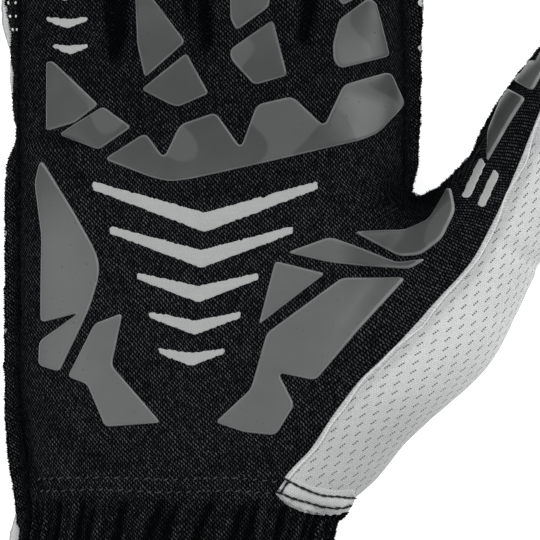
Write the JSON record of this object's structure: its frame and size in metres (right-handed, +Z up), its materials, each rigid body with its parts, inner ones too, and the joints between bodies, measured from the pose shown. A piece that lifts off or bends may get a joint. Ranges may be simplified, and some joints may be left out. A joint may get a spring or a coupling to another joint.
{
  "type": "motorsport racing glove",
  "caption": "Right-hand racing glove of knitted fabric, hollow and open at an elastic cuff, with raised grip pads and flat trim on palm and fingers, lying palm up.",
  "frame": {"origin": "on the resting plane, under the middle of the glove's bounding box", "axes": "+Z up out of the palm, +Y from the cuff towards the fingertips, +X towards the thumb side"},
  "size_m": [0.1556, 0.2646, 0.0419],
  "materials": {
    "black_knit": "matt coarse bird's-eye knit",
    "light_knit": "matt perforated knit",
    "grey_silicone": "smooth satin silicone",
    "silver_film": "thin silver transfer film"
  },
  "bodies": {
    "root": {"palm_panel": "black_knit", "back_panel": "light_knit", "thumb_panel": "light_knit", "cuff_panel": "black_knit", "thumb_hem": "light_knit", "thumb_piping": "light_knit", "seam_flange": "black_knit", "grip_little_base": "grey_silicone", "grip_little_lower": "grey_silicone", "grip_knuckle_band": "grey_silicone", "grip_ring_base": "grey_silicone", "grip_ring_middle": "grey_silicone", "grip_middle_base": "grey_silicone", "grip_middle_middle": "grey_silicone", "grip_index_base": "grey_silicone", "grip_index_middle": "grey_silicone", "grip_little_tip": "grey_silicone", "grip_ring_tip": "grey_silicone", "grip_middle_tip": "grey_silicone", "grip_index_tip": "grey_silicone", "grip_heel_outer": "grey_silicone", "grip_heel_inner": "grey_silicone", "grip_thumb_wedge": "grey_silicone", "grip_leaf_lower": "grey_silicone", "grip_leaf_upper": "grey_silicone", "grip_heel_thumb": "grey_silicone", "grip_thumb_low": "grey_silicone", "grip_thumb_middle": "grey_silicone", "grip_thumb_tip": "grey_silicone", "palm_chevron_1": "silver_film", "palm_chevron_2": "silver_film", "palm_chevron_3": "silver_film", "palm_chevron_4": "silver_film", "palm_chevron_5": "silver_film", "little_chevron_1": "silver_film", "little_chevron_2": "silver_film", "little_chevron_3": "silver_film", "thumb_bar_1": "silver_film", "thumb_bar_2": "silver_film"}
  },
  "joints": []
}
